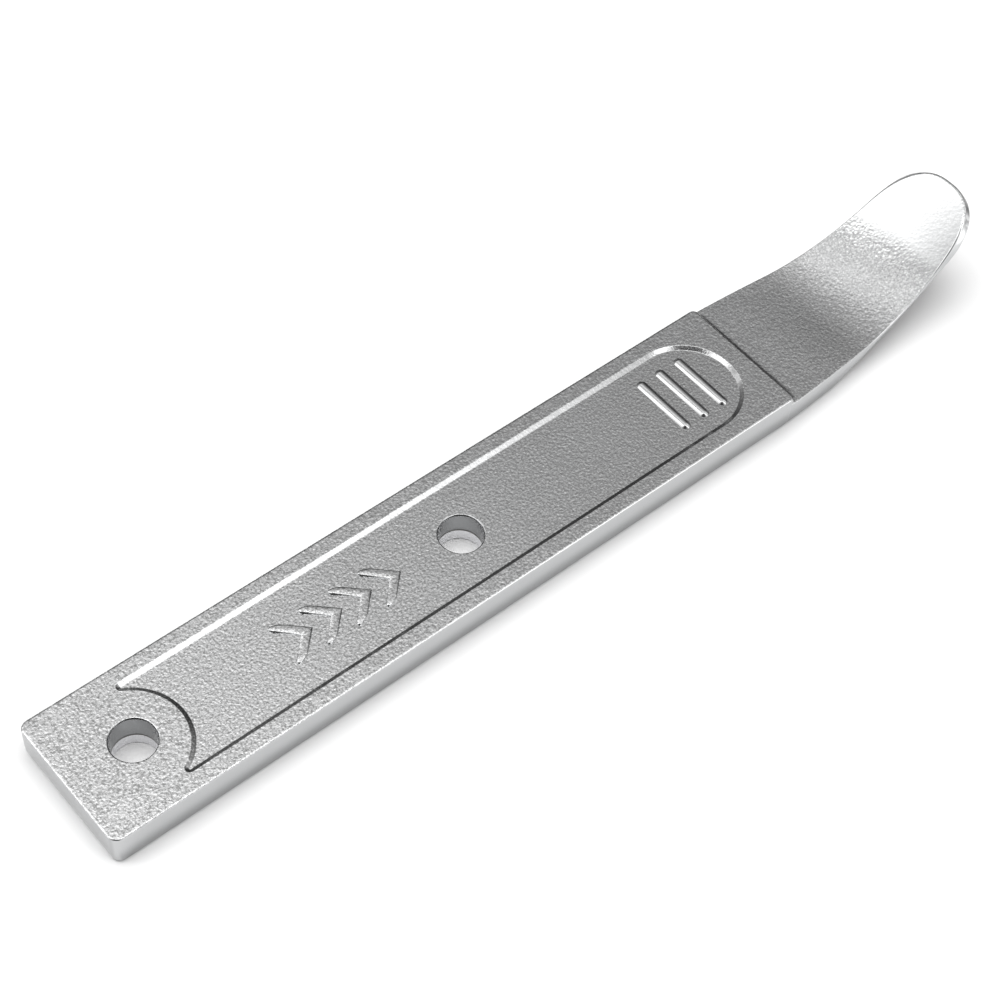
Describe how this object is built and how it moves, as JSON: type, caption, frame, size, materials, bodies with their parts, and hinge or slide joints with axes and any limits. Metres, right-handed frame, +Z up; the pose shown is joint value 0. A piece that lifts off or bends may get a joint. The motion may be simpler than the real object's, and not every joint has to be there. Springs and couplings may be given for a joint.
{
  "type": "tyre lever",
  "caption": "Flat forged-steel tyre lever with an upturned spoon tip, a sunk ribbed grip panel and open hanging holes through the handle.",
  "frame": {"origin": "centre of the bounding box in plan, on the plane that the flat underside lies on", "axes": "+X along the lever from the hanging end to the spoon's tip, +Y across the handle, +Z up out of the panelled face"},
  "size_m": [0.2196, 0.03, 0.0226],
  "materials": {
    "bright_chrome": "bright plating over a fine pebbled forging skin; flanks, rims and edges polished smooth"
  },
  "bodies": {
    "root": {"lever_forging": "bright_chrome"}
  },
  "joints": []
}
